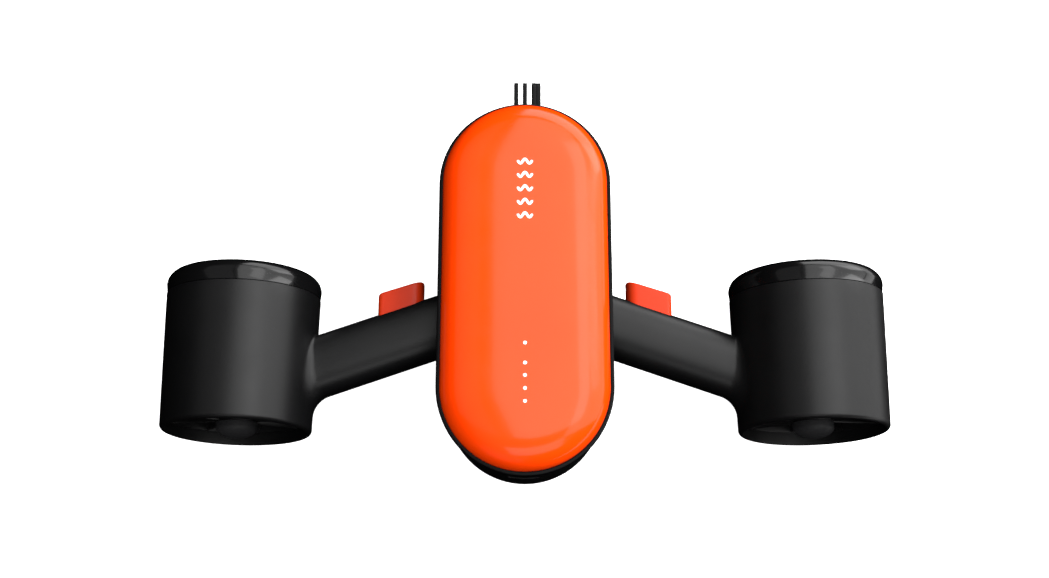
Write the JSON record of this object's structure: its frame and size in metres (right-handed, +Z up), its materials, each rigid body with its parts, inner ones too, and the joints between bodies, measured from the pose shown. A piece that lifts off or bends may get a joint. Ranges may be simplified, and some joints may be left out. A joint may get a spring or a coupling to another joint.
{
  "type": "underwater scooter",
  "caption": "Hand-held underwater scooter with a rounded hull, lift-off battery pack, swept arms with triggers, and a ducted propeller on each side.",
  "frame": {"origin": "under the middle of the overall box, on the surface the flat belly rests on", "axes": "+X to the scooter's right-hand side, +Y to the nose, +Z up"},
  "size_m": [0.49, 0.2802, 0.109],
  "materials": {
    "satin_black": "satin moulded black plastic, fine grain",
    "gloss_black": "polished black plastic",
    "orange_shell": "glossy orange plastic",
    "orange_trigger": "semi-gloss orange-red plastic",
    "black_rubber": "moulded rubber",
    "grey_plastic": "matt grey moulded plastic",
    "circuit_board": "green circuit board",
    "clear_light_guide": "milky light guide",
    "stainless_steel": "stainless steel",
    "magnet": "nickel-plated magnet",
    "copper": "enamelled copper winding on a steel core",
    "gold_contact": "gold-plated contact block",
    "lead_jacket": "black cable jacket",
    "cell_wrap": "shrink-wrapped cylindrical cell"
  },
  "bodies": {
    "hull": {"hull_tub": "satin_black", "hull_rim": "gloss_black", "hull_gasket": "black_rubber", "electronics_box": "grey_plastic", "electronics_lid": "grey_plastic", "controller_board": "circuit_board", "power_socket": "grey_plastic", "camera_mount": "satin_black", "camera_mount_nut": "stainless_steel", "duct_left": "satin_black", "arm_cover_left": "satin_black", "arm_seal_left": "black_rubber", "motor_lead_left": "lead_jacket", "hall_sensor_left": "circuit_board", "trigger_spring_left": "stainless_steel", "intake_guard_left": "gloss_black", "stator_hub_left": "satin_black", "tail_cone_left": "satin_black", "motor_stator_left": "copper", "front_bearing_left": "stainless_steel", "rear_bearing_left": "stainless_steel", "duct_right": "satin_black", "arm_cover_right": "satin_black", "arm_seal_right": "black_rubber", "motor_lead_right": "lead_jacket", "hall_sensor_right": "circuit_board", "trigger_spring_right": "stainless_steel", "intake_guard_right": "gloss_black", "stator_hub_right": "satin_black", "tail_cone_right": "satin_black", "motor_stator_right": "copper", "front_bearing_right": "stainless_steel", "rear_bearing_right": "stainless_steel"},
    "battery_pack": {"battery_cover": "orange_shell", "battery_tray": "grey_plastic", "battery_seal": "black_rubber", "battery_terminal": "gold_contact", "light_guide": "clear_light_guide", "management_board": "circuit_board", "cell_1": "cell_wrap", "cell_2": "cell_wrap", "cell_3": "cell_wrap", "cell_4": "cell_wrap", "cell_5": "cell_wrap", "cell_6": "cell_wrap"},
    "battery_latch": {"battery_latch": "satin_black"},
    "rotor_left": {"propeller_left": "satin_black", "propeller_nut_left": "satin_black", "motor_shaft_left": "stainless_steel", "rotor_can_left": "stainless_steel", "magnet_ring_left": "magnet"},
    "trigger_left": {"trigger_left": "orange_trigger", "trigger_magnet_left": "magnet"},
    "rotor_right": {"propeller_right": "satin_black", "propeller_nut_right": "satin_black", "motor_shaft_right": "stainless_steel", "rotor_can_right": "stainless_steel", "magnet_ring_right": "magnet"},
    "trigger_right": {"trigger_right": "orange_trigger", "trigger_magnet_right": "magnet"}
  },
  "joints": [
    {"name": "propeller_spin_left", "type": "hinge", "parent": "hull", "child": "rotor_left", "pos_m": [-0.1929, -0.0364, 0.053], "axis": [0, 1, 0], "continuous": true},
    {"name": "trigger_press_left", "type": "slide", "parent": "hull", "child": "trigger_left", "axis": [0, -1, 0], "range_m": [0, 0.008], "stiffness_N_per_m": 400, "springref_m": -0.004, "deforming": ["trigger_spring_left"]},
    {"name": "propeller_spin_right", "type": "hinge", "parent": "hull", "child": "rotor_right", "pos_m": [0.1929, -0.0364, 0.053], "axis": [0, 1, 0], "continuous": true},
    {"name": "trigger_press_right", "type": "slide", "parent": "hull", "child": "trigger_right", "axis": [0, -1, 0], "range_m": [0, 0.008], "stiffness_N_per_m": 400, "springref_m": -0.004, "deforming": ["trigger_spring_right"]},
    {"name": "latch_push", "type": "slide", "parent": "hull", "child": "battery_latch", "axis": [0, 1, 0], "range_m": [0, 0.004], "stiffness_N_per_m": 500, "springref_m": -0.003},
    {"name": "pack_lift", "type": "slide", "parent": "hull", "child": "battery_pack", "axis": [0, 0, 1], "range_m": [0, 0.08]}
  ]
}
